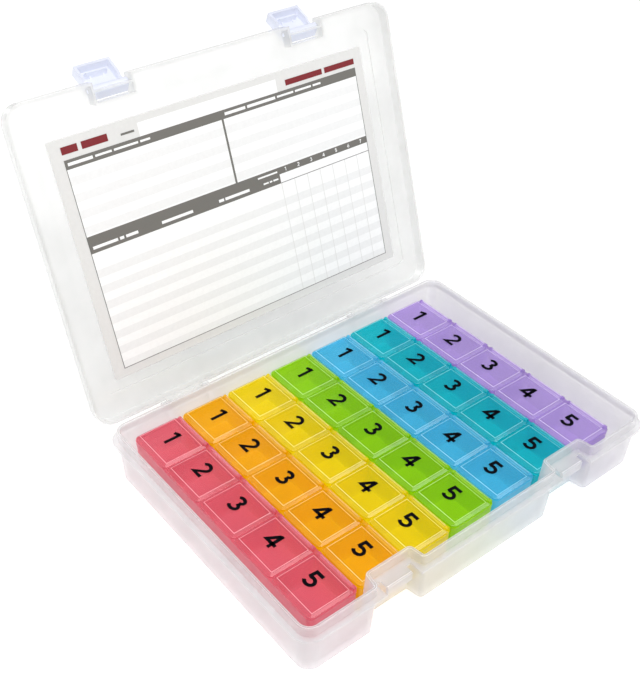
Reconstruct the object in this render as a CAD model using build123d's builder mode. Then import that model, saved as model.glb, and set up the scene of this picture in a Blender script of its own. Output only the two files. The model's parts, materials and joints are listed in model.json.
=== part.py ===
"""A weekly pill organizer: seven trays of five lidded cells in a clear case with a hinged cover.

All sizes are in millimetres. The origin is the middle of the case's underside, +X runs along the
hinge from the first tray to the last, +Y points to the hinge and +Z up. The cover and its latches
are written where they lie when the case is shut, in frames that are turned open afterwards.
"""

import os
from math import radians, tan

from build123d import *

os.makedirs("parts", exist_ok=True)

# Trays, one for each day
tray_colours = ["red", "orange", "yellow", "green", "light_blue", "teal", "purple"]
cells = 5
cell_length = 33.0
tray_width = 32.0
tray_gap = 0.5
tray_wall = 1.2
tray_floor = 1.2
tray_height = 20.2
tray_corner = 3.5
pocket_corner = 2.2
tray_lift_gap = 0.1
row_shift = -0.5

# Flip lids of the cells
flip_gap = 0.6
flip_seat_gap = 0.15
flip_height = 2.0
flip_edge = 0.8
flip_left_bevel = 3.3
flip_side_bevel = 1.9
flip_hinge_bevel = 1.7
flip_bow = 0.7
flip_corner = 2.5
flip_roof = 1.2
flip_rim = 2.2
flip_crease_round = 1.5
flip_edge_round = 0.3

# Hinge of a flip lid: two eyes on the tray, two stubs on the lid
eye_inset = 1.6
eye_radius = 1.25
eye_width = 1.6
eye_from_boundary = 1.8
eye_side_gap = 0.2
eye_swing_gap = 0.25
barrel_radius = 1.15
stub_radius = 0.6
stub_clearance = 0.08
stub_length = 1.3

# Case body
case_wall = 2.0
case_floor = 1.8
case_height = 35.0
case_draft = 1.5
side_room = 10.1
tray_end_clearance = 0.3
rim_corner = 8.0
foot_round = 1.0
rim_height = 6.3
rim_round = 0.6
ledge_overhang = 2.9
ledge_thickness = 1.6

# Latch recesses in the front wall, and their catches
latch_offset = 65.0
recess_depth = 9.4
recess_flare = 1.4
recess_side_draft = 3.3
recess_inner_round = 1.2
recess_mouth_round = 3.0
recess_clearance = 0.5
recess_ledge = 3.4
catch_width = 16.4
catch_setback = 3.4
catch_lip = 5.9
catch_thickness = 1.6
catch_round = 1.2

# Cover
seat_gap = 0.2
cover_height = 8.5
cover_wall = 1.6
cover_top_round = 1.6
panel_rise = 1.0
panel_inset_x = 11.5
panel_inset_y = 13.2
panel_corner = 5.0
panel_round = 0.6
latch_pocket_depth = 10.7
latch_pocket_wall = 1.4
latch_pocket_back_wall = 1.05
latch_side_gap = 0.5
sill_setback = 4.1
sill_thickness = 1.2
sill_height = 3.2

# Case hinge: eyes on the body, barrels with stubs on the cover
cover_open_angle = 108.6
hinge_offset = 72.0
hinge_setback = 2.55
hinge_drop = 1.5
hinge_barrel_length = 24.0
hinge_barrel_radius = 2.5
hinge_eye_radius = 2.7
hinge_eye_width = 4.0
hinge_end_gap = 0.3
hinge_slot_gap = 0.4
hinge_stub_radius = 1.3
hinge_stub_length = 3.2
hinge_stub_clearance = 0.08
hinge_web = 2.0
hinge_eye_depth = 2.6

# Latches
latch_open_angle = 139.0
latch_width = 22.0
latch_length = 19.0
latch_thickness = 1.7
latch_skirt = 1.6
latch_skirt_depth = 6.5
latch_proud = 1.45
latch_leg = 2.0
latch_round = 1.6
latch_barrel_radius = 2.4
latch_pivot_height = 6.0
latch_pivot_setback = 4.75
latch_stub_radius = 1.1
latch_stub_length = 1.2
latch_stub_clearance = 0.08
hook_width = 13.0
hook_thickness = 1.5
hook_gap = 0.3
hook_bite = 1.0
gusset_width = 0.9
gusset_height = 1.3
gusset_length = 2.0
gusset_offset = 4.0

# Printed card in the cover
card_length = 215.9
card_width = 139.7
card_thickness = 0.4
card_shift_y = 1.3

# Heights that follow from these
slope = tan(radians(case_draft))
tray_bottom = case_floor + tray_lift_gap
tray_top = tray_bottom + tray_height
ledge_top = case_height - rim_height
cover_bottom = ledge_top + seat_gap
cover_top = cover_bottom + cover_height
cover_inside = cover_top - cover_wall
flip_bottom = tray_top + flip_seat_gap
flip_top = flip_bottom + flip_height

# Plan sizes that follow from these
tray_pitch = tray_width + tray_gap
tray_length = cells * cell_length
row_length = len(tray_colours) * tray_pitch - tray_gap
case_length = row_length + 2 * side_room + 2 * case_wall
draft_above_trays = slope * (case_height - tray_top)
case_depth = tray_length + 2 * (tray_end_clearance + draft_above_trays) + recess_depth + 2 * case_wall
rim_x = case_length / 2
rim_y = case_depth / 2
ledge_x = rim_x + ledge_overhang
ledge_y = rim_y + ledge_overhang
ledge_corner = rim_corner + ledge_overhang
row_left = row_shift - row_length / 2
tray_back = rim_y - case_wall - draft_above_trays - tray_end_clearance
pocket_half = latch_width / 2 + latch_side_gap
recess_half = pocket_half + latch_pocket_wall + recess_clearance
recess_y = -rim_y + recess_depth
catch_y = -ledge_y + catch_setback
catch_bottom = ledge_top - catch_lip

# Axes of the hinges
hinge_y = ledge_y + hinge_setback
hinge_z = ledge_top - hinge_drop
pivot_y = -ledge_y + latch_pivot_setback
pivot_z = cover_bottom + latch_pivot_height
plate_y = -ledge_y - latch_proud
flip_axis_x = tray_width - eye_inset
flip_axis_z = flip_top - eye_radius

# The open cover, and each open latch on it, turn about their axes
hinge_turn = (
    Location((0, hinge_y, hinge_z))
    * Location((0, 0, 0), (-cover_open_angle, 0, 0))
    * Location((0, -hinge_y, -hinge_z))
)
latch_turn = (
    hinge_turn
    * Location((0, pivot_y, pivot_z))
    * Location((0, 0, 0), (-latch_open_angle, 0, 0))
    * Location((0, -pivot_y, -pivot_z))
)


def level(height, turn=Location()):
    """A horizontal plane of the shut case, turned with the piece that it is for."""
    return Plane(turn * Plane.XY.offset(height).location)


def across(x, turn=Location()):
    """A plane square to X, whose sketch axes are Y and Z of the shut case."""
    return Plane(turn * Plane.YZ.offset(x).location)


def corners_at(edges, x_half, y_half):
    """The upright edges nearest to the four corners of a rectangle about the case's middle."""
    chosen = []
    for x in (-x_half, x_half):
        for y in (-y_half, y_half):
            chosen.append(edges.sort_by_distance(Vector(x, y, edges[0].center().Z))[0])
    return chosen


def upright_edges(part):
    return part.edges().filter_by(lambda edge: abs(edge.tangent_at(0.5).Z) > 0.9)


def side_faces(part):
    return part.faces().filter_by(lambda face: abs(face.normal_at().Z) < 0.5)


def moulded_box(x_low, x_high, y_low, y_high, z_low, z_high, radius):
    """A box of full size at its top, whose drafted sides draw in towards its foot."""
    with BuildPart() as block:
        with BuildSketch(Plane.XY.offset(z_low)):
            with Locations(((x_low + x_high) / 2, (y_low + y_high) / 2)):
                Rectangle(x_high - x_low, y_high - y_low)
        extrude(amount=z_high - z_low)
        draft(side_faces(block), Plane.XY.offset(z_high), -case_draft)
        fillet(upright_edges(block), radius)
    return block.part


def recess_outline(x_half, y_front, y_back, half_width, flare):
    """Corners of the case outline: a rectangle with the two latch recesses in its front side."""
    points = [(-x_half, y_front)]
    for centre in (-latch_offset, latch_offset):
        points.append((centre - half_width - flare, y_front))
        points.append((centre - half_width, y_back))
        points.append((centre + half_width, y_back))
        points.append((centre + half_width + flare, y_front))
    points += [(x_half, y_front), (x_half, -y_front), (-x_half, -y_front)]
    return points


def case_shell(inset, z_low, z_high, mouth_round, inner_round):
    """The drafted case body, or with an inset the room inside it, from its outline at the rim."""
    outline = recess_outline(
        rim_x - inset, -rim_y + inset, recess_y + inset, recess_half + inset, recess_flare
    )
    end_walls_from = rim_x - 2 * case_wall - inset
    with BuildPart() as shell:
        with BuildSketch(Plane.XY.offset(z_low)):
            with BuildLine():
                Polyline(*outline, close=True)
            make_face()
        extrude(amount=z_high - z_low)
        flanks = side_faces(shell).filter_by(
            lambda face: abs(face.normal_at().X) > 0.8 and abs(face.center().X) < end_walls_from
        )
        draft(flanks, Plane.XY.offset(case_height), -recess_side_draft)
        main = side_faces(shell).filter_by(
            lambda face: abs(face.normal_at().Y) > 0.8 or abs(face.center().X) > end_walls_from
        )
        draft(main, Plane.XY.offset(case_height), -case_draft)
        edges = upright_edges(shell)
        outer = corners_at(edges, rim_x, rim_y)
        inner = edges.filter_by(lambda edge: edge not in outer and edge.center().Y > (recess_y - rim_y) / 2)
        mouth = edges.filter_by(lambda edge: edge not in outer and edge.center().Y < (recess_y - rim_y) / 2)
        fillet(outer, rim_corner - inset)
        fillet(mouth, mouth_round)
        fillet(inner, inner_round)
    return shell.part


# Case body: a drafted tub with a rim, a ledge outside it, two latch recesses and the hinge eyes
body_outside = case_shell(0, 0, case_height, recess_mouth_round, recess_inner_round)
body_inside = case_shell(
    case_wall, case_floor, case_height, recess_mouth_round - case_wall, recess_inner_round + case_wall
)
hinge_reach = hinge_barrel_length / 2 + hinge_end_gap

with BuildPart() as case_base:
    add(body_outside)
    fillet(case_base.faces().sort_by(Axis.Z)[0].outer_wire().edges(), foot_round)
    with BuildSketch(Plane.XY.offset(ledge_top - ledge_thickness)):
        with BuildLine():
            Polyline(
                *recess_outline(
                    ledge_x, -ledge_y, recess_y - recess_ledge, pocket_half + latch_side_gap / 4, 0
                ),
                close=True,
            )
        make_face()
        ledge_corners = [
            vertex
            for vertex in vertices()
            if abs(vertex.X) > latch_offset + 2 * recess_half
        ]
        fillet(ledge_corners, ledge_corner)
    extrude(amount=ledge_thickness)
    for centre in (-latch_offset, latch_offset):
        with BuildSketch(across(centre)):
            with BuildLine():
                Polyline(
                    (recess_y, ledge_top),
                    (catch_y, ledge_top),
                    (catch_y, catch_bottom),
                    (catch_y + catch_thickness, catch_bottom),
                    (catch_y + catch_thickness, ledge_top - ledge_thickness),
                    (recess_y, ledge_top - ledge_thickness),
                    close=True,
                )
            make_face()
            front_top = vertices().sort_by_distance(Vector(catch_y, ledge_top))[0]
            fillet(front_top, catch_round)
        extrude(amount=catch_width / 2, both=True)
    for centre in (-hinge_offset, hinge_offset):
        for side in (-1, 1):
            with BuildSketch(across(centre + side * (hinge_reach + hinge_eye_width / 2))):
                with Locations((hinge_y, hinge_z)):
                    Circle(hinge_eye_radius)
                with BuildLine():
                    Polyline(
                        (rim_y - case_wall / 2, ledge_top - seat_gap / 2),
                        (hinge_y, ledge_top - seat_gap / 2),
                        (hinge_y, hinge_z - hinge_eye_radius),
                        (rim_y - case_wall / 2, hinge_z - hinge_eye_radius - hinge_eye_depth),
                        close=True,
                    )
                make_face()
            extrude(amount=hinge_eye_width / 2, both=True)
        with BuildSketch(across(centre)):
            with Locations((hinge_y, hinge_z)):
                Circle(hinge_stub_radius + hinge_stub_clearance)
        extrude(amount=hinge_reach + hinge_eye_width, both=True, mode=Mode.SUBTRACT)
        slot_front = hinge_y - hinge_barrel_radius - hinge_slot_gap
        with BuildSketch(Plane.XY.offset(ledge_top - ledge_thickness)):
            with Locations((centre, (slot_front + ledge_y) / 2)):
                Rectangle(2 * hinge_reach, ledge_y - slot_front)
        extrude(amount=ledge_thickness, mode=Mode.SUBTRACT)
    add(body_inside, mode=Mode.SUBTRACT)
    fillet(case_base.faces().sort_by(Axis.Z)[-1].edges(), rim_round)
case_base.part.label = "case_base"
export_step(case_base.part, "parts/case_base.step")

# Cover: a shallow moulded lid with a raised panel, two latch pockets and the hinge barrels
with BuildPart() as case_lid:
    with BuildSketch(level(cover_bottom, hinge_turn)):
        RectangleRounded(2 * ledge_x, 2 * ledge_y, ledge_corner)
    extrude(amount=cover_height)
    top_face = case_lid.faces().sort_by_distance(level(cover_top, hinge_turn).origin)[0]
    fillet(top_face.outer_wire().edges(), cover_top_round)
    with BuildSketch(level(cover_top, hinge_turn)):
        RectangleRounded(2 * (ledge_x - panel_inset_x), 2 * (ledge_y - panel_inset_y), panel_corner)
    extrude(amount=panel_rise)
    panel_face = case_lid.faces().sort_by_distance(level(cover_top + panel_rise, hinge_turn).origin)[0]
    fillet(panel_face.outer_wire().edges(), panel_round)
    with BuildSketch(level(cover_bottom, hinge_turn)):
        RectangleRounded(2 * (ledge_x - cover_wall), 2 * (ledge_y - cover_wall), ledge_corner - cover_wall)
    extrude(amount=cover_height - cover_wall, mode=Mode.SUBTRACT)
    with BuildSketch(level(cover_inside, hinge_turn)):
        RectangleRounded(
            2 * (ledge_x - panel_inset_x - cover_wall),
            2 * (ledge_y - panel_inset_y - cover_wall),
            panel_corner - cover_wall,
        )
    extrude(amount=panel_rise, mode=Mode.SUBTRACT)
    for centre in (-latch_offset, latch_offset):
        box_depth = latch_pocket_depth + latch_pocket_back_wall
        with BuildSketch(level(cover_bottom, hinge_turn)):
            with Locations((centre, -ledge_y + box_depth / 2)):
                Rectangle(2 * (pocket_half + latch_pocket_wall), box_depth)
        extrude(amount=cover_height - cover_top_round)
        with BuildSketch(level(cover_bottom, hinge_turn)):
            with Locations((centre, -ledge_y + latch_pocket_depth / 2)):
                Rectangle(2 * pocket_half, latch_pocket_depth)
        extrude(amount=cover_height, mode=Mode.SUBTRACT)
        with BuildSketch(level(cover_bottom, hinge_turn)):
            with Locations((centre, -ledge_y + sill_setback + sill_thickness / 2)):
                Rectangle(2 * (pocket_half + latch_pocket_wall / 2), sill_thickness)
        extrude(amount=sill_height)
        with BuildSketch(across(centre, hinge_turn)):
            with Locations((pivot_y, pivot_z)):
                Circle(latch_stub_radius + latch_stub_clearance)
        extrude(amount=pocket_half + latch_pocket_wall, both=True, mode=Mode.SUBTRACT)
    for centre in (-hinge_offset, hinge_offset):
        web_foot = ledge_y - cover_wall / 2
        web_top = cover_bottom + hinge_web
        with BuildSketch(across(centre, hinge_turn)):
            with Locations((hinge_y, hinge_z)):
                Circle(hinge_barrel_radius)
            with BuildLine():
                Polyline(
                    (web_foot, cover_bottom),
                    (ledge_y, cover_bottom),
                    (hinge_y, hinge_z),
                    (hinge_y, hinge_z + hinge_barrel_radius),
                    (ledge_y, web_top),
                    (web_foot, web_top),
                    close=True,
                )
            make_face()
        extrude(amount=hinge_barrel_length / 2, both=True)
        with BuildSketch(across(centre, hinge_turn)):
            with Locations((hinge_y, hinge_z)):
                Circle(hinge_stub_radius)
        extrude(amount=hinge_barrel_length / 2 + hinge_stub_length, both=True)
case_lid.part.label = "case_lid"
export_step(case_lid.part, "parts/case_lid.step")

# Card against the inside of the cover's raised panel
with BuildPart() as schedule_card:
    with BuildSketch(level(cover_inside + panel_rise - card_thickness, hinge_turn)):
        with Locations((0, card_shift_y)):
            Rectangle(card_length, card_width)
    extrude(amount=card_thickness)
schedule_card.part.label = "schedule_card"
export_step(schedule_card.part, "parts/schedule_card.step")


def make_latch(label, centre):
    """A snap latch: a barrel on stubs, a short leg, and a dished plate with a hook rib inside."""
    back_y = plate_y + latch_skirt_depth
    foot_z = pivot_z - latch_length
    sill_front = -ledge_y + sill_setback
    neck_y = sill_front - latch_side_gap / 2
    neck_z = cover_bottom - latch_side_gap
    shoulder_z = neck_z - (back_y - neck_y)
    hook_top = catch_bottom - hook_gap
    plate_inside = plate_y + latch_thickness
    with BuildPart() as latch:
        with BuildSketch(across(centre, latch_turn)):
            with BuildLine():
                Polyline(
                    (pivot_y, pivot_z + latch_barrel_radius),
                    (plate_y, pivot_z + latch_barrel_radius),
                    (plate_y, foot_z),
                    (back_y, foot_z),
                    (back_y, shoulder_z),
                    (neck_y, neck_z),
                    (neck_y, pivot_z),
                    (pivot_y, pivot_z),
                    close=True,
                )
            make_face()
            leg_corner = vertices().sort_by_distance(Vector(plate_y, pivot_z + latch_barrel_radius))[0]
            fillet(leg_corner, latch_round)
            with Locations((pivot_y, pivot_z)):
                Circle(latch_barrel_radius)
        extrude(amount=latch_width / 2, both=True)
        with BuildSketch(across(centre, latch_turn)):
            with BuildLine():
                Polyline(
                    (plate_inside, pivot_z + latch_barrel_radius - latch_leg),
                    (plate_inside, foot_z + latch_skirt),
                    (back_y + latch_skirt, foot_z + latch_skirt),
                    (back_y + latch_skirt, pivot_z - latch_barrel_radius),
                    (pivot_y, pivot_z - latch_barrel_radius),
                    (pivot_y - latch_barrel_radius, pivot_z),
                    (pivot_y - latch_barrel_radius, pivot_z + latch_barrel_radius - latch_leg),
                    close=True,
                )
            make_face()
        extrude(amount=latch_width / 2 - latch_skirt, both=True, mode=Mode.SUBTRACT)
        with BuildSketch(across(centre, latch_turn)):
            with BuildLine():
                Polyline(
                    (plate_y + latch_thickness / 2, hook_top),
                    (catch_y + hook_bite, hook_top),
                    (catch_y + hook_bite, hook_top - hook_thickness / 2),
                    (plate_inside, hook_top - 2 * hook_thickness),
                    (plate_y + latch_thickness / 2, hook_top - 2 * hook_thickness),
                    close=True,
                )
            make_face()
        extrude(amount=hook_width / 2, both=True)
        for side in (-1, 1):
            with BuildSketch(across(centre + side * gusset_offset, latch_turn)):
                with BuildLine():
                    Polyline(
                        (plate_y + latch_thickness / 2, hook_top - hook_thickness / 2),
                        (plate_inside + gusset_height, hook_top - hook_thickness / 2),
                        (plate_inside + gusset_height, hook_top),
                        (plate_inside, hook_top + gusset_length),
                        (plate_y + latch_thickness / 2, hook_top + gusset_length),
                        close=True,
                    )
                make_face()
            extrude(amount=gusset_width / 2, both=True)
        with BuildSketch(across(centre, latch_turn)):
            with Locations((pivot_y, pivot_z)):
                Circle(latch_stub_radius)
        extrude(amount=latch_width / 2 + latch_side_gap + latch_stub_length, both=True)
    latch.part.label = label
    export_step(latch.part, f"parts/{label}.step")


make_latch("latch_left", -latch_offset)
make_latch("latch_right", latch_offset)


def cell_centre(row):
    """Middle of a cell along Y; row 0 is the one next to the case's hinge."""
    return tray_back - (row + 0.5) * cell_length


def make_tray(label, left):
    """A tray of cells in one row, with a pair of hinge eyes for the lid of each cell."""
    with BuildPart() as tray:
        add(
            moulded_box(
                left,
                left + tray_width,
                tray_back - tray_length,
                tray_back,
                tray_bottom,
                tray_top,
                tray_corner,
            )
        )
        for row in range(cells):
            middle = cell_centre(row)
            front_wall = tray_wall if row == cells - 1 else tray_wall / 2
            back_wall = tray_wall if row == 0 else tray_wall / 2
            pocket = moulded_box(
                left + tray_wall,
                left + tray_width - tray_wall,
                middle - cell_length / 2 + front_wall,
                middle + cell_length / 2 - back_wall,
                tray_bottom + tray_floor,
                tray_top,
                pocket_corner,
            )
            add(pocket, mode=Mode.SUBTRACT)
        for row in range(cells):
            for side in (-1, 1):
                eye_y = cell_centre(row) + side * (cell_length / 2 - eye_from_boundary - eye_width / 2)
                with BuildSketch(Plane.XZ.offset(-eye_y)):
                    with Locations((left + flip_axis_x, flip_axis_z)):
                        Circle(eye_radius)
                    with BuildLine():
                        Polyline(
                            (left + flip_axis_x - eye_radius, flip_axis_z),
                            (left + flip_axis_x + eye_radius, flip_axis_z),
                            (left + flip_axis_x + eye_radius, tray_top - eye_width / 2),
                            (left + tray_width - tray_wall, tray_top - 2 * eye_width),
                            (left + flip_axis_x - eye_radius, tray_top - eye_width / 2),
                            close=True,
                        )
                    make_face()
                    with Locations((left + flip_axis_x, flip_axis_z)):
                        Circle(stub_radius + stub_clearance, mode=Mode.SUBTRACT)
                extrude(amount=eye_width / 2, both=True)
            with BuildSketch(Plane.XZ.offset(-cell_centre(row))):
                with Locations((left + flip_axis_x, flip_axis_z)):
                    Circle(barrel_radius + eye_swing_gap)
            extrude(amount=cell_length / 2 - eye_from_boundary - eye_width, both=True, mode=Mode.SUBTRACT)
    tray.part.label = label
    export_step(tray.part, f"parts/{label}.step")


def make_flip_lid(label, left, row):
    """A cell's lid: a bevelled plate, hollow below, whose left edge bows out as a finger lip."""
    middle = cell_centre(row)
    half = (cell_length - flip_gap) / 2
    right = flip_axis_x - eye_radius - eye_swing_gap
    barrel_half = cell_length / 2 - eye_from_boundary - eye_width - eye_side_gap
    shoulder = flip_bottom + flip_edge
    with BuildPart() as lid:
        with BuildSketch(Plane.XY.offset(flip_bottom)):
            with BuildLine():
                ThreePointArc(
                    (left + flip_bow, middle - half), (left, middle), (left + flip_bow, middle + half)
                )
                Polyline(
                    (left + flip_bow, middle + half),
                    (left + right, middle + half),
                    (left + right, middle - half),
                    (left + flip_bow, middle - half),
                )
            make_face()
            for end in (-1, 1):
                at_end = (row == 0 and end > 0) or (row == cells - 1 and end < 0)
                lip_corner = vertices().sort_by_distance(Vector(left + flip_bow, middle + end * half))[0]
                fillet(lip_corner, tray_corner if at_end else flip_corner)
        extrude(amount=flip_height)
        bevels = [
            ((left, middle), (1, 0), flip_left_bevel),
            ((left + right, middle), (-1, 0), flip_hinge_bevel),
            ((left, middle - half), (0, 1), flip_side_bevel),
            ((left, middle + half), (0, -1), flip_side_bevel),
        ]
        for (x, y), (inward_x, inward_y), run in bevels:
            rise = flip_top - shoulder
            normal = Vector(-inward_x * rise, -inward_y * rise, run)
            split(bisect_by=Plane(origin=(x, y, shoulder), z_dir=normal), keep=Keep.BOTTOM)
        fillet(lid.faces().sort_by(Axis.Z)[-1].outer_wire().edges(), flip_crease_round)
        brow = lid.edges().filter_by(
            lambda edge: flip_bottom + flip_edge / 2 < edge.center().Z < shoulder + flip_edge / 2
            and abs(edge.tangent_at(0.5).Z) < 0.5
        )
        fillet(brow, flip_edge_round)
        with BuildSketch(Plane.XY.offset(flip_bottom)):
            with Locations((left + right / 2, middle)):
                RectangleRounded(right - 2 * flip_rim, 2 * (half - flip_rim), flip_bow)
        extrude(amount=flip_height - flip_roof, mode=Mode.SUBTRACT)
        with BuildSketch(Plane.XZ.offset(-middle)):
            with BuildLine():
                Polyline(
                    (left + right - flip_rim / 2, flip_bottom),
                    (left + flip_axis_x, flip_axis_z - barrel_radius),
                    (left + flip_axis_x, flip_axis_z + barrel_radius),
                    (left + right - flip_rim / 2, flip_bottom + flip_edge),
                    close=True,
                )
            make_face()
            with Locations((left + flip_axis_x, flip_axis_z)):
                Circle(barrel_radius)
        extrude(amount=barrel_half, both=True)
        with BuildSketch(Plane.XZ.offset(-middle)):
            with Locations((left + flip_axis_x, flip_axis_z)):
                Circle(stub_radius)
        extrude(amount=barrel_half + stub_length, both=True)
    lid.part.label = label
    export_step(lid.part, f"parts/{label}.step")


for index, colour in enumerate(tray_colours):
    tray_left = row_left + index * tray_pitch
    make_tray(f"tray_{colour}", tray_left)
    for row in range(cells):
        make_flip_lid(f"lid_{colour}_{row + 1}", tray_left, row)

print(f"case {2 * ledge_x:.1f} x {2 * ledge_y:.1f}, {cover_top + panel_rise:.1f} high when shut")
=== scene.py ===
"""Looks of the weekly pill organizer: clear case, tinted trays, printed numbers and a printed chart."""

import json
from math import cos, pi, radians, sin

import bpy
from mathutils import Matrix, Vector


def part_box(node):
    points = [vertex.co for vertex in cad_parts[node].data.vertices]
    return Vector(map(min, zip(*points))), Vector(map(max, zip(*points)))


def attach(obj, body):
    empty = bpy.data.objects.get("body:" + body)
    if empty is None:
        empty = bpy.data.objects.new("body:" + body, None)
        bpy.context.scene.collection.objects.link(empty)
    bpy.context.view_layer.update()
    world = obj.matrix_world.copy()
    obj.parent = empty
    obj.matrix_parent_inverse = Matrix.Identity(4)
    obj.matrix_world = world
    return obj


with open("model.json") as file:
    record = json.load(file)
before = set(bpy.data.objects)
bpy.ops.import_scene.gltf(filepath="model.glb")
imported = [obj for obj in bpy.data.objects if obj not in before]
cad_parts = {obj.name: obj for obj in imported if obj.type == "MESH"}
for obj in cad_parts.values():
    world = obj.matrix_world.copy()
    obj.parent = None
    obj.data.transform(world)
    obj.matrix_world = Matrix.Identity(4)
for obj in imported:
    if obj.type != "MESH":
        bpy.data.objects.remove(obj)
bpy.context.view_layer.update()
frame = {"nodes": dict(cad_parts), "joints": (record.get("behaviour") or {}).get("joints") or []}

MM = 0.001

# Colours of the trays, linear
tray_tints = {
    "red": (0.72, 0.19, 0.25),
    "orange": (0.81, 0.51, 0.002),
    "yellow": (0.80, 0.68, 0.002),
    "green": (0.38, 0.66, 0.002),
    "light_blue": (0.11, 0.56, 0.76),
    "teal": (0.002, 0.56, 0.62),
    "purple": (0.44, 0.30, 0.66),
}
# The flip lids have the colour of their tray, but the purple ones are paler
lid_tints = {**tray_tints, "purple": (0.68, 0.56, 0.86)}
white_plastic = (0.69, 0.71, 0.79)
clear_plastic = (0.66, 0.65, 0.66)
cover_plastic = (0.655, 0.66, 0.65)
print_black = (0.003, 0.003, 0.005)

# Inks of the printed card, linear
card_inks = {
    "margin": (0.62, 0.615, 0.605),
    "field": (0.79, 0.79, 0.79),
    "stripe": (0.715, 0.715, 0.715),
    "grey": (0.135, 0.129, 0.117),
    "rule": (0.13, 0.13, 0.125),
    "red": (0.17, 0.005, 0.01),
}
ink_step = 0.02 * MM

# Numbers on the flip lids; the stroke is a share of the height, and the shift is from a lid's middle
rows = 5
digit_height = 11.3 * MM
digit_stroke = 0.185
digit_shift = (1.2 * MM, 2.2 * MM)
digit_lift = 0.03 * MM
digit_thickness = 0.05 * MM
sharpest_mitre = 0.45

# Gap between the object and the floor, and half the floor's side
floor_gap = 0.2 * MM
floor_reach = 3.0
floor_white = (0.98, 0.98, 0.98)

# How the see-through plastics are shaded. A face's level is the upward share of its direction at rest,
# up or down: 1 where it lies flat, and 0 where it stands upright
level_of_flat_face = 0.999
level_of_dense_slope = 0.93
# The pale crease line is a painted highlight: a paler colour laid on faces at the crease's level, standing
# in for the light that rounded edges catch
level_of_crease_highlight = 0.97
crease_highlight_spread = 0.018
crease_highlight_paleness = 0.3
crease_highlight_colour_share = 0.65
glance_blend = 0.3
grazing_blend = 0.5
grazing_power = 5.0
grazing_gloss = 0.9
cloud_scale = 45.0
cloud_tones = (0.95, 1.04)
grain_scale = 900.0
moulded_roughness = (0.8, 1.25)
moulded_relief = 0.1 * MM

# A tray's window is a paler tone of its plastic, and paler still for the lamps' light
window_full = 0.85
window_power = 0.18
lamp_power = 0.25

# How the printed and painted surfaces vary about their own roughness
printed_roughness = (0.85, 1.15)
printed_relief = 0.05 * MM

# Where in a noise's 0 to 1 range its colours begin and end
noise_ends = (0.3, 0.7)


def link(obj):
    bpy.context.scene.collection.objects.link(obj)
    return obj


# Materials


def new_material(name):
    material = bpy.data.materials.new(name)
    material.use_nodes = True
    material.node_tree.nodes.clear()
    return material, material.node_tree.nodes, material.node_tree.links


def noise(nodes, links, scale, detail):
    coordinates = nodes.new("ShaderNodeTexCoord")
    texture = nodes.new("ShaderNodeTexNoise")
    texture.inputs["Scale"].default_value = scale
    texture.inputs["Detail"].default_value = detail
    links.new(coordinates.outputs["Object"], texture.inputs["Vector"])
    return texture.outputs["Fac"]


def between(nodes, links, factor, low, high):
    """A colour that runs from low to high with a noise."""
    ramp = nodes.new("ShaderNodeValToRGB")
    for stop, position, colour in zip(ramp.color_ramp.elements, noise_ends, (low, high)):
        stop.position = position
        stop.color = (*colour, 1)
    links.new(factor, ramp.inputs["Fac"])
    return ramp.outputs["Color"]


def value_between(nodes, links, factor, low, high, factor_low=0.0, factor_high=1.0):
    """A number that runs from low to high while a factor runs from factor_low to factor_high."""
    spread = nodes.new("ShaderNodeMapRange")
    spread.inputs["From Min"].default_value = factor_low
    spread.inputs["From Max"].default_value = factor_high
    spread.inputs["To Min"].default_value = low
    spread.inputs["To Max"].default_value = high
    links.new(factor, spread.inputs["Value"])
    return spread.outputs["Result"]


def calculated(nodes, links, operation, *values):
    """The result of a Math node; each value is a number or another node's output."""
    node = nodes.new("ShaderNodeMath")
    node.operation = operation
    for socket, value in zip(node.inputs, values):
        if isinstance(value, (int, float)):
            socket.default_value = value
        else:
            links.new(value, socket)
    return node.outputs["Value"]


def mixed(nodes, links, share, first, second):
    """A mix of two shaders by a node's output, 0 for the first and 1 for the second."""
    mix = nodes.new("ShaderNodeMixShader")
    links.new(share, mix.inputs["Fac"])
    links.new(first, mix.inputs[1])
    links.new(second, mix.inputs[2])
    return mix.outputs["Shader"]


def facing(nodes, blend):
    """0 where the surface faces the viewer, and 1 where it is seen edge on."""
    weight = nodes.new("ShaderNodeLayerWeight")
    weight.inputs["Blend"].default_value = blend
    return weight.outputs["Facing"]


def see_through(nodes, tint):
    window = nodes.new("ShaderNodeBsdfTransparent")
    window.inputs["Color"].default_value = (*tint, 1)
    return window.outputs["BSDF"]


def raised_grain(nodes, links, grain, strength, depth):
    relief = nodes.new("ShaderNodeBump")
    relief.inputs["Strength"].default_value = strength
    relief.inputs["Distance"].default_value = depth
    links.new(grain, relief.inputs["Height"])
    return relief.outputs["Normal"]


def scaled(colour, factor):
    return tuple(min(1.0, c * factor) for c in colour)


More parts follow.
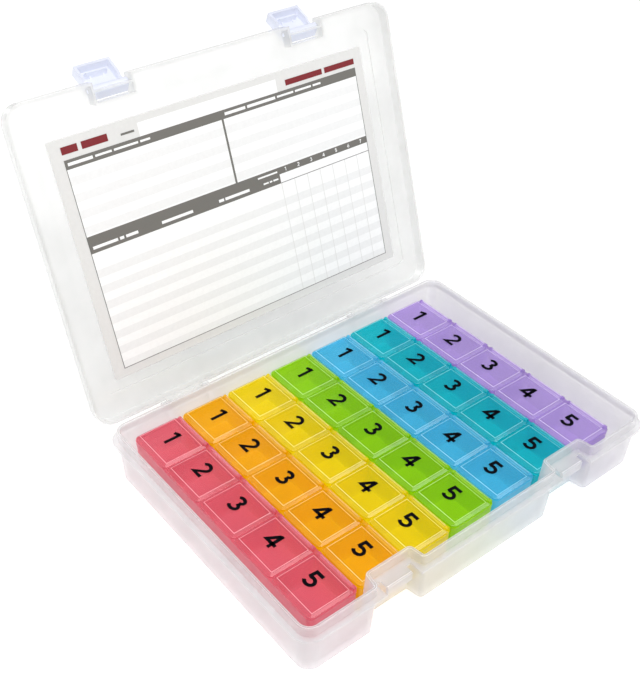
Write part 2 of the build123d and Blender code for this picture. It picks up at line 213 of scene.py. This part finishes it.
def clear_moulded(
    name, colour, tint, lamp_tint, opacity, glance_opacity, slope_opacity, passing_share,
    painted_crease_highlight, flat_gloss, crease_gloss, roughness, bump,
):
    """See-through moulded plastic: a tinted window, a milky body that light passes, and a gloss.

    It is denser at a glance, and on slopes. A painted highlight, a pale line, runs
    along each crease, and rounded edges shine more than flat faces. Lamps shine through it all.
    """
    material, nodes, links = new_material(name)
    cloud = noise(nodes, links, cloud_scale, 2.0)
    grain = noise(nodes, links, grain_scale, 3.0)
    tone = between(nodes, links, cloud, *(scaled(colour, share) for share in cloud_tones))

    body = nodes.new("ShaderNodeBsdfPrincipled")
    body.inputs["Specular IOR Level"].default_value = 0.0
    links.new(tone, body.inputs["Base Color"])
    passing = nodes.new("ShaderNodeBsdfTranslucent")
    links.new(tone, passing.inputs["Color"])
    milk = nodes.new("ShaderNodeMixShader")
    milk.inputs["Fac"].default_value = passing_share
    links.new(body.outputs["BSDF"], milk.inputs[1])
    links.new(passing.outputs["BSDF"], milk.inputs[2])

    coordinates = nodes.new("ShaderNodeTexCoord")
    direction = nodes.new("ShaderNodeSeparateXYZ")
    links.new(coordinates.outputs["Normal"], direction.inputs["Vector"])
    level = calculated(nodes, links, "ABSOLUTE", direction.outputs["Z"])
    at_a_glance = value_between(nodes, links, facing(nodes, glance_blend), opacity, glance_opacity)
    on_slope = value_between(
        nodes, links, level, 0.0, slope_opacity, level_of_flat_face, level_of_dense_slope
    )
    density = calculated(nodes, links, "MAXIMUM", at_a_glance, on_slope)
    plastic = mixed(nodes, links, density, see_through(nodes, tint), milk.outputs["Shader"])

    # Painted highlight: a pale line on faces near the crease's level, the same under any lamp
    crease_highlight_mask = calculated(nodes, links, "COMPARE", level, level_of_crease_highlight, crease_highlight_spread)
    highlight_share = calculated(nodes, links, "MULTIPLY", crease_highlight_mask, painted_crease_highlight)
    highlight_tone = nodes.new("ShaderNodeBsdfDiffuse")
    highlight_colour = tuple(crease_highlight_paleness + crease_highlight_colour_share * c for c in colour)
    highlight_tone.inputs["Color"].default_value = (*highlight_colour, 1)
    highlighted = mixed(nodes, links, highlight_share, plastic, highlight_tone.outputs["BSDF"])

    gloss = nodes.new("ShaderNodeBsdfGlossy")
    gloss.inputs["Color"].default_value = (1, 1, 1, 1)
    links.new(
        value_between(nodes, links, grain, *(roughness * share for share in moulded_roughness)),
        gloss.inputs["Roughness"],
    )
    links.new(raised_grain(nodes, links, grain, bump, moulded_relief), gloss.inputs["Normal"])
    grazing = calculated(nodes, links, "POWER", facing(nodes, grazing_blend), grazing_power)
    mirror = value_between(nodes, links, grazing, flat_gloss, grazing_gloss)
    slant = calculated(nodes, links, "SUBTRACT", 1.0, level)
    rounded = calculated(nodes, links, "MULTIPLY", level, slant)
    shine = calculated(nodes, links, "MULTIPLY_ADD", rounded, 4 * crease_gloss, mirror)
    skin = mixed(nodes, links, shine, highlighted, gloss.outputs["BSDF"])

    light_path = nodes.new("ShaderNodeLightPath")
    lamp_window = see_through(nodes, lamp_tint)
    output = nodes.new("ShaderNodeOutputMaterial")
    links.new(
        mixed(nodes, links, light_path.outputs["Is Shadow Ray"], skin, lamp_window),
        output.inputs["Surface"],
    )
    return material


def solid_finish(name, colour, roughness, scale, spread, bump=0.05, shine=0.5):
    """An opaque printed or painted surface with a fine grain."""
    material, nodes, links = new_material(name)
    grain = noise(nodes, links, scale, 4.0)
    body = nodes.new("ShaderNodeBsdfPrincipled")
    links.new(
        between(nodes, links, grain, scaled(colour, 1 - spread), scaled(colour, 1 + spread)),
        body.inputs["Base Color"],
    )
    links.new(
        value_between(nodes, links, grain, *(roughness * share for share in printed_roughness)),
        body.inputs["Roughness"],
    )
    body.inputs["Specular IOR Level"].default_value = shine
    links.new(raised_grain(nodes, links, grain, bump, printed_relief), body.inputs["Normal"])
    output = nodes.new("ShaderNodeOutputMaterial")
    links.new(body.outputs["BSDF"], output.inputs["Surface"])
    return material


tray_materials = {}
lid_materials = {}
# Each material's crease line sets the strength of a painted highlight along its creases
for tray, tint in tray_tints.items():
    window_tint = tuple(min(1.0, (c / window_full) ** window_power) for c in tint)
    tray_lamp_tint = tuple(c ** lamp_power for c in window_tint)
    tray_materials[tray] = clear_moulded(
        f"{tray}_tray", tint, window_tint, tray_lamp_tint,
        opacity=0.5, glance_opacity=0.8, slope_opacity=0.0, passing_share=0.4,
        painted_crease_highlight=0.0, flat_gloss=0.02, crease_gloss=0.1, roughness=0.12, bump=0.05,
    )
    lid_materials[tray] = clear_moulded(
        f"{tray}_lid", lid_tints[tray], window_tint, tray_lamp_tint,
        opacity=0.16, glance_opacity=0.55, slope_opacity=0.3, passing_share=0.3,
        painted_crease_highlight=0.8, flat_gloss=0.015, crease_gloss=0.1, roughness=0.08, bump=0.04,
    )
clear_tint = (0.99, 0.99, 0.99)
lamp_tint = (0.96, 0.96, 0.962)
latch_tint = (0.96, 0.97, 1.0)
case_material = clear_moulded(
    "clear_case", clear_plastic, clear_tint, lamp_tint,
    opacity=0.38, glance_opacity=0.6, slope_opacity=0.0, passing_share=0.4,
    painted_crease_highlight=0.75, flat_gloss=0.03, crease_gloss=0.1, roughness=0.12, bump=0.03,
)
cover_material = clear_moulded(
    "clear_cover", cover_plastic, clear_tint, lamp_tint,
    opacity=0.36, glance_opacity=0.6, slope_opacity=0.0, passing_share=0.4,
    painted_crease_highlight=0.0, flat_gloss=0.03, crease_gloss=0.02, roughness=0.12, bump=0.03,
)
latch_material = clear_moulded(
    "latch_plastic", white_plastic, latch_tint, lamp_tint,
    opacity=0.7, glance_opacity=0.92, slope_opacity=0.0, passing_share=0.15,
    painted_crease_highlight=0.0, flat_gloss=0.03, crease_gloss=0.05, roughness=0.22, bump=0.04,
)
card_materials = {
    ink: solid_finish(f"card_{ink}", tone, roughness=0.7, scale=500.0, spread=0.02)
    for ink, tone in card_inks.items()
}
ink_material = solid_finish(
    "black_print", print_black, roughness=0.6, scale=700.0, spread=0.2, shine=0.02
)


def finish_node(node, material):
    obj = frame["nodes"][node]
    for slot in obj.material_slots:
        slot.material = material


finish_node("case_base", case_material)
finish_node("case_lid", cover_material)
finish_node("schedule_card", card_materials["margin"])
finish_node("latch_left", latch_material)
finish_node("latch_right", latch_material)
for tray in tray_tints:
    finish_node(f"tray_{tray}", tray_materials[tray])
    for row in range(1, rows + 1):
        finish_node(f"lid_{tray}_{row}", lid_materials[tray])


# Numbers, drawn as strokes of one width in a box of height 1


def arc(centre, radius, start, end, steps=14):
    """Points of an arc; angles are in degrees, from the glyph's right, and may run either way."""
    points = []
    for i in range(steps + 1):
        angle = radians(start + (end - start) * i / steps)
        points.append((centre[0] + radius[0] * cos(angle), centre[1] + radius[1] * sin(angle)))
    return points


def digit_strokes(digit, width):
    """Centre lines of a digit's strokes, and the digit's width."""
    half = width / 2
    if digit == 1:
        return [[(0.03, 0.80), (0.34, 0.935)], [(0.34, 1.0), (0.34, 0.0)]], 0.34 + half
    if digit == 2:
        bow = arc((0.34, 0.665), (0.265, 0.335 - half), 158, -38)
        return [bow + [(0.10, half), (0.67, half)]], 0.67
    if digit == 3:
        top = arc((0.33, 0.735), (0.235, 0.265 - half), 155, -78)
        low = arc((0.33, 0.295), (0.275, 0.295 - half), 82, -150)
        return [top, low], 0.33 + 0.275 + half
    if digit == 4:
        return [[(0.46, 0.90), (0.09, 0.30), (0.76, 0.30)], [(0.52, 0.98), (0.52, 0.0)]], 0.76
    if digit == 5:
        bowl = arc((0.32, 0.325), (0.275, 0.325 - half), 118, -152)
        return [[(0.60, 1 - half), (0.15, 1 - half), (0.115, 0.56)] + bowl], 0.32 + 0.275 + half
    if digit == 6:
        ring = arc((0.35, 0.32), (0.27, 0.32 - half), 0, 360, 24)
        return [ring, [(0.50, 0.96), (0.12, 0.45)]], 0.35 + 0.27 + half
    return [[(0.02, 1 - half), (0.60, 1 - half), (0.22, 0.0)]], 0.62


def stroke_outline(points, width):
    """The outline of a stroke round its centre line, with mitred corners and square ends."""
    line = [Vector((x, y)) for x, y in points]
    left, right = [], []
    for i, point in enumerate(line):
        before = (point - line[i - 1]).normalized() if i else (line[1] - point).normalized()
        after = (line[i + 1] - point).normalized() if i < len(line) - 1 else before
        middle = before + after
        middle = middle.normalized() if middle.length > 1e-6 else before
        across = Vector((-middle.y, middle.x))
        stretch = 1 / max(sharpest_mitre, middle.dot(after))
        left.append(point + across * width / 2 * stretch)
        right.append(point - across * width / 2 * stretch)
    return left, right


def flat_strips(strokes, width, place, thickness):
    """Vertices and faces of closed strips; place turns a glyph point and a depth into a vertex."""
    vertices, faces = [], []
    for points in strokes:
        left, right = stroke_outline(points, width)
        count = len(points)
        base = len(vertices)
        for depth in (0.0, thickness):
            for a, b in zip(left, right):
                vertices.append(place(a.x, a.y, depth))
                vertices.append(place(b.x, b.y, depth))
        low, high = base, base + 2 * count
        for i in range(count - 1):
            a, b, c, d = 2 * i, 2 * i + 1, 2 * i + 3, 2 * i + 2
            faces.append((high + a, high + b, high + c, high + d))
            faces.append((low + a, low + d, low + c, low + b))
            faces.append((low + a, high + a, high + d, low + d))
            faces.append((low + b, low + c, high + c, high + b))
        last = 2 * (count - 1)
        faces.append((low, low + 1, high + 1, high))
        faces.append((low + last, high + last, high + last + 1, low + last + 1))
    return vertices, faces


def mesh_piece(name, vertices, faces, material, body):
    mesh = bpy.data.meshes.new(name)
    mesh.from_pydata([tuple(v) for v in vertices], [], faces)
    mesh.materials.append(material)
    mesh.validate()
    mesh.update()
    obj = link(bpy.data.objects.new(name, mesh))
    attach(obj, body)
    return obj


for tray in tray_tints:
    for row in range(1, rows + 1):
        low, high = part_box(f"lid_{tray}_{row}")
        strokes, glyph_width = digit_strokes(row, digit_stroke)
        centre_x = (low.x + high.x) / 2 + digit_shift[0]
        centre_y = (low.y + high.y) / 2 + digit_shift[1]
        top = high.z + digit_lift

        def place(across, up, depth):
            x = centre_x + (up - 0.5) * digit_height
            y = centre_y - (across - glyph_width / 2) * digit_height
            return Vector((x, y, top + depth))

        vertices, faces = flat_strips(strokes, digit_stroke, place, digit_thickness)
        mesh_piece(f"number_{tray}_{row}", vertices, faces, ink_material, f"lid_{tray}_{row}")


# The card's print, in millimetres, laid out where it lies when the cover is shut: x from the first
# tray to the last, y from the cover's front edge, which is the card's top, to its hinge

cover_joint = next(joint for joint in frame["joints"] if joint["child"] == "case_lid")
cover_turn = (
    Matrix.Translation(cover_joint["pos_m"])
    @ Matrix.Rotation(radians(cover_joint["range_deg"][0]), 4, "X")
    @ Matrix.Translation(-Vector(cover_joint["pos_m"]))
)
card_corners = [cover_turn.inverted() @ v.co for v in frame["nodes"]["schedule_card"].data.vertices]
card_face = min(corner.z for corner in card_corners)

frame_left, frame_right = -101.0, 101.8
frame_top, frame_bottom = -57.2, 66.6
header_bottom = -52.0
middle_top, middle_bottom = -13.9, -4.1
days_left, days_bottom = 30.9, -9.7
day_pitch = 10.05
days = len(tray_tints)
stripe_pitch, stripe_height, least_stripe = 9.4, 4.7, 0.5
rule_width = 0.4


def card_place(x, y, layer, depth=0.0):
    return cover_turn @ Vector((x * MM, y * MM, card_face - layer * ink_step - depth))


def card_boxes(name, ink, layer, boxes):
    """Thin closed blocks of ink; each box is x_low, x_high, y_low, y_high in millimetres."""
    vertices, faces = [], []
    for x_low, x_high, y_low, y_high in boxes:
        base = len(vertices)
        for depth in (-0.5 * ink_step, 0.5 * ink_step):
            for x, y in ((x_low, y_low), (x_high, y_low), (x_high, y_high), (x_low, y_high)):
                vertices.append(card_place(x, y, layer, depth))
        for face in ((0, 1, 2, 3), (7, 6, 5, 4), (0, 4, 5, 1), (1, 5, 6, 2), (2, 6, 7, 3), (3, 7, 4, 0)):
            faces.append(tuple(base + i for i in face))
    mesh_piece(name, vertices, faces, card_materials[ink], "case_lid")


def bands(left, right, top, bottom, first):
    """Stripes one under another, from the first one's upper edge to the foot of their field."""
    boxes, y = [], first
    while y + least_stripe < bottom:
        boxes.append((left, right, max(y, top), min(y + stripe_height, bottom)))
        y += stripe_pitch
    return boxes


def words(left, right, top, bottom, lengths, space):
    """A row of plain blocks, in the place of a line of words."""
    boxes, x = [], left
    scale = (right - left - space * (len(lengths) - 1)) / sum(lengths)
    for length in lengths:
        boxes.append((x, x + length * scale, top, bottom))
        x += length * scale + space
    return boxes


card_boxes("card_fields", "field", 1, [
    (frame_left, frame_right, header_bottom, middle_top),
    (frame_left, frame_right, days_bottom, frame_bottom),
    (-53.8, 41.4, -64.8, frame_top),
])
card_boxes(
    "card_stripes", "stripe", 2,
    bands(frame_left, frame_right, header_bottom, middle_top, -47.8)
    + bands(frame_left, frame_right, middle_bottom, frame_bottom, 5.6),
)
card_boxes("card_bars", "grey", 3, [
    (frame_left, frame_right, frame_top, header_bottom),
    (frame_left, frame_right, middle_top, days_bottom),
    (frame_left, days_left, days_bottom, middle_bottom),
    (-0.7, 0.7, header_bottom, middle_top),
])
day_lines = [days_left + day_pitch * i for i in range(days)]
card_boxes(
    "card_rules", "rule", 4,
    [
        (frame_left, frame_left + rule_width, header_bottom, frame_bottom),
        (frame_right - rule_width, frame_right, header_bottom, frame_bottom),
        (frame_left, frame_right, frame_bottom - rule_width, frame_bottom),
        (days_left, frame_right, middle_bottom - rule_width, middle_bottom),
    ],
)
card_boxes(
    "card_columns", "margin", 4,
    [(x, x + rule_width, middle_bottom, frame_bottom - rule_width) for x in day_lines],
)
card_boxes("card_titles", "red", 4, (
    words(-101.0, -73.0, -64.3, -60.2, (3.2, 5.2), 2.4) + words(48.0, 101.6, -62.8, -59.4, (5.0, 4.2), 2.0)
))
card_boxes("card_name_mark", "grey", 4, words(-65.0, -56.5, -61.9, -60.7, (1,), 0))
card_boxes(
    "card_headings", "field", 5,
    words(-99.3, -84.3, -55.5, -53.8, (1,), 0)
    + words(-82.8, -48.2, -55.3, -54.1, (8, 12, 5), 1.4)
    + words(2.2, 38.8, -55.5, -53.8, (5, 7), 1.4)
    + words(40.2, 73.6, -55.3, -54.1, (6, 6, 3), 1.4)
    + words(-98.8, -70.0, -7.9, -6.2, (6, 1, 3), 1.3)
    + words(-54.2, -33.0, -7.9, -6.2, (1,), 0)
    + words(-14.6, 7.6, -7.9, -6.2, (1, 5), 1.0)
    + words(15.0, 29.6, -12.1, -11.1, (1,), 0)
    + words(18.2, 29.4, -7.8, -6.8, (2, 1, 2), 0.8),
)
number_height = 2.3
number_middle = (middle_top + days_bottom) / 2
vertices, faces = [], []
for day in range(days):
    strokes, glyph_width = digit_strokes(day + 1, digit_stroke)
    column_middle = days_left + day_pitch * (day + 0.5)

    def on_card(across, up, depth):
        x = column_middle + (across - glyph_width / 2) * number_height
        y = number_middle - (up - 0.5) * number_height
        return card_place(x, y, 5, depth - ink_step / 2)

    more_vertices, more_faces = flat_strips(strokes, digit_stroke, on_card, ink_step)
    faces += [tuple(len(vertices) + i for i in face) for face in more_faces]
    vertices += more_vertices
mesh_piece("card_numbers", vertices, faces, card_materials["field"], "case_lid")

# Floor, light and camera
floor_mesh = bpy.data.meshes.new("floor")
floor_corners = [
    (x * floor_reach, y * floor_reach, -floor_gap) for x, y in ((-1, -1), (1, -1), (1, 1), (-1, 1))
]
floor_mesh.from_pydata(floor_corners, [], [(0, 1, 2, 3)])
floor = link(bpy.data.objects.new("floor", floor_mesh))
floor_mesh.materials.append(
    solid_finish("pale_floor", floor_white, roughness=0.9, scale=20.0, spread=0.005, bump=0.0)
)

world = bpy.data.worlds.new("studio")
world.use_nodes = True
world.node_tree.nodes["Background"].inputs["Color"].default_value = (1, 1, 1, 1)
world.node_tree.nodes["Background"].inputs["Strength"].default_value = 0.62
bpy.context.scene.world = world


def area_light(name, place, target, size, power):
    """A square lamp that looks at a target; metres and watts."""
    light = bpy.data.lights.new(name, "AREA")
    light.shape = "SQUARE"
    light.size = size
    light.energy = power
    obj = link(bpy.data.objects.new(name, light))
    obj.location = place
    obj.rotation_euler = (Vector(target) - Vector(place)).to_track_quat("-Z", "Y").to_euler()
    return obj


area_light("key", (-0.6, -0.3, 1.3), (0, 0, 0), size=0.9, power=5.5)
area_light("fill", (0.5, -1.1, 0.8), (0, 0, 0.03), size=1.2, power=7.0)
area_light("side", (-1.1, -0.5, 0.6), (0, 0, 0.03), size=0.9, power=2.5)
area_light("top", (0.2, -0.2, 1.5), (0, 0, 0), size=1.0, power=6.0)
area_light("back", (-0.5, 1.3, 0.7), (0, 0, 0.1), size=1.0, power=7.0)

# Camera, at the photograph's viewing angle; it turns by an azimuth, an elevation and a roll in degrees
camera_place = Vector((-312.24, -322.65, 441.85)) * MM
camera_turn = (-39.89, 40.15, 1.51)
focal_pixels = 1048.5
frame_pixels = (640, 673)
principal_pixel = (325.9, 381.8)
camera_data = bpy.data.cameras.new("camera")
camera_data.sensor_width = 36.0
camera_data.lens = focal_pixels * camera_data.sensor_width / max(frame_pixels)
camera_data.shift_x = -(principal_pixel[0] - frame_pixels[0] / 2) / max(frame_pixels)
camera_data.shift_y = (principal_pixel[1] - frame_pixels[1] / 2) / max(frame_pixels)
camera_data.clip_start = 0.01
camera = link(bpy.data.objects.new("camera", camera_data))
azimuth, elevation, roll = (radians(v) for v in camera_turn)
turn = (
    Matrix.Rotation(azimuth, 4, "Z")
    @ Matrix.Rotation(pi / 2 - elevation, 4, "X")
    @ Matrix.Rotation(roll, 4, "Z")
)
camera.matrix_world = Matrix.Translation(camera_place) @ turn
bpy.context.scene.camera = camera

scene = bpy.context.scene
scene.view_settings.view_transform = "Standard"
scene.cycles.transparent_max_bounces = 48
scene.cycles.max_bounces = 10
